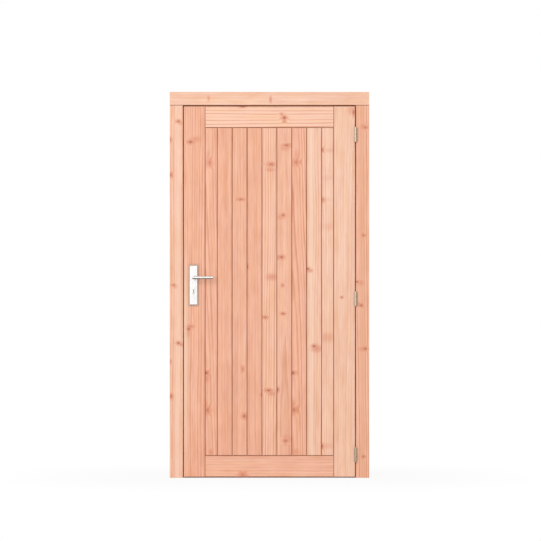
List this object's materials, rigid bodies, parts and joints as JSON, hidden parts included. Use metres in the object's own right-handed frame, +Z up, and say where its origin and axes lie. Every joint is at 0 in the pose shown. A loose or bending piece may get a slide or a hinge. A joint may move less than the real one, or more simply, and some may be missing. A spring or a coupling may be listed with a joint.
{
  "type": "boarded timber door with frame",
  "caption": "Boarded timber door in its frame: upright V-jointed boards between stiles and rails, hung on butt hinges, with lever handles on long plates and a keyhole lock.",
  "frame": {"origin": "at floor level on the outer side face of the hinge jamb, in the middle of its depth", "axes": "+X to the right as seen from outside, out of the hinge jamb; +Y inwards, away from the side the leaf opens to; +Z up"},
  "size_m": [1.084, 0.1705, 2.097],
  "materials": {
    "frame_timber": "planed",
    "leaf_timber": "planed",
    "board_timber": "planed",
    "handle_metal": "fine satin",
    "hinge_steel": "zinc plated",
    "lock_steel": "satin",
    "cylinder_nickel": "satin nickel"
  },
  "bodies": {
    "frame": {"frame_head": "frame_timber", "lock_jamb": "frame_timber", "hinge_jamb": "frame_timber", "lock_stop": "frame_timber", "hinge_stop": "frame_timber", "head_stop": "frame_timber", "threshold": "frame_timber", "strike_plate": "lock_steel", "upper_hinge_frame_flap": "hinge_steel", "middle_hinge_frame_flap": "hinge_steel", "lower_hinge_frame_flap": "hinge_steel"},
    "leaf": {"lock_stile": "leaf_timber", "hinge_stile": "leaf_timber", "top_rail": "leaf_timber", "bottom_rail": "leaf_timber", "board_1": "board_timber", "board_2": "board_timber", "board_3": "board_timber", "board_4": "board_timber", "board_5": "board_timber", "board_6": "board_timber", "board_7": "board_timber", "board_8": "board_timber", "board_9": "board_timber", "upper_hinge_leaf_flap": "hinge_steel", "middle_hinge_leaf_flap": "hinge_steel", "lower_hinge_leaf_flap": "hinge_steel", "lock_case": "lock_steel", "lock_forend": "lock_steel", "latch_bolt": "lock_steel", "dead_bolt": "lock_steel", "lock_cylinder": "cylinder_nickel", "outer_plate": "handle_metal", "inner_plate": "handle_metal"},
    "lever": {"outer_lever": "handle_metal", "inner_lever": "handle_metal", "spindle": "lock_steel"}
  },
  "joints": [
    {"name": "leaf_swing", "type": "hinge", "parent": "frame", "child": "leaf", "pos_m": [-0.0745, -0.063, 0], "axis": [0, 0, 1], "range_deg": [0, 170]},
    {"name": "lever_turn", "type": "hinge", "parent": "leaf", "child": "lever", "pos_m": [-0.954, -0.035, 1.088], "axis": [0, 1, 0], "range_deg": [0, 40], "stiffness_Nm_per_rad": 1.2, "springref_deg": -28.65}
  ]
}
